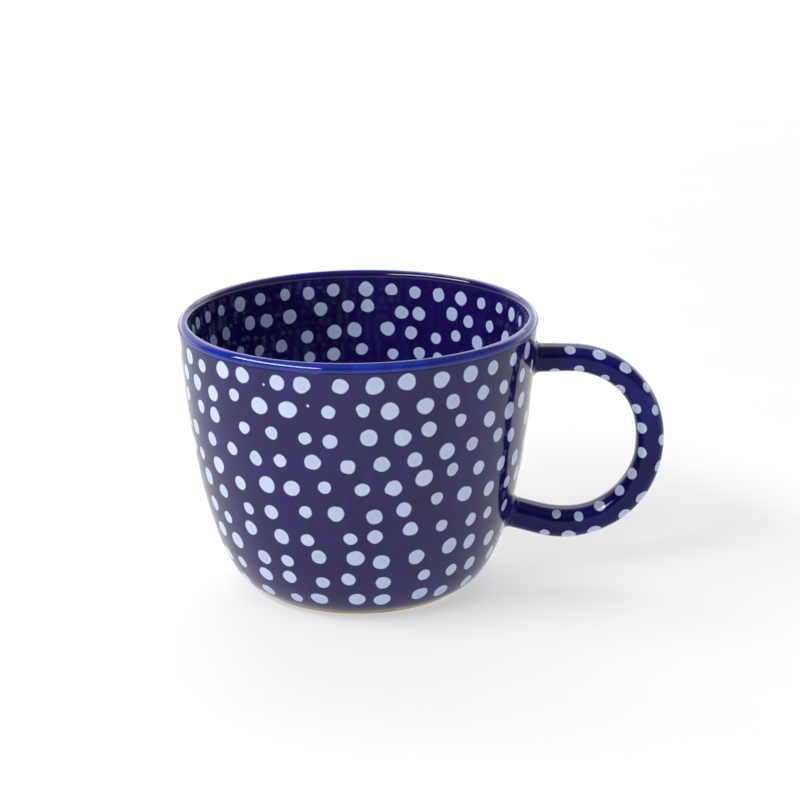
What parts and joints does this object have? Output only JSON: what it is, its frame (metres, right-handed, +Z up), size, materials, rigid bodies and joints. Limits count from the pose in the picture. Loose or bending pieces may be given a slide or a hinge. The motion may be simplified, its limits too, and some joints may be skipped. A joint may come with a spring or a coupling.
{
  "type": "stoneware mug",
  "caption": "Squat round stoneware mug with a curved wall, a loop handle and a narrow foot ring, dipped in deep cobalt glaze and painted with small pale dots inside and out.",
  "frame": {"origin": "on the cup's axis, at the plane that the foot ring stands on", "axes": "+Z up along the cup's axis, +X from the axis towards the handle, +Y completes the right-handed set"},
  "size_m": [0.1308, 0.096, 0.075],
  "materials": {
    "bare_clay": "matte, fired unglazed stoneware",
    "cobalt_glaze": "gloss, deep cobalt glaze",
    "bright_cobalt_glaze": "gloss, brighter cobalt where the glaze breaks on the lip",
    "pale_blue_paint": "gloss, pale blue underglaze paint"
  },
  "bodies": {
    "root": {"mug_body": "bare_clay", "handle": "bare_clay", "upper_handle_joint": "cobalt_glaze", "lower_handle_joint": "cobalt_glaze", "outer_glaze": "cobalt_glaze", "inner_glaze": "cobalt_glaze", "rim_band": "bright_cobalt_glaze", "handle_glaze": "cobalt_glaze", "foot_recess_glaze": "cobalt_glaze", "outer_dots": "pale_blue_paint", "inner_dots": "pale_blue_paint", "floor_dots": "pale_blue_paint", "handle_dots": "pale_blue_paint"}
  },
  "joints": []
}
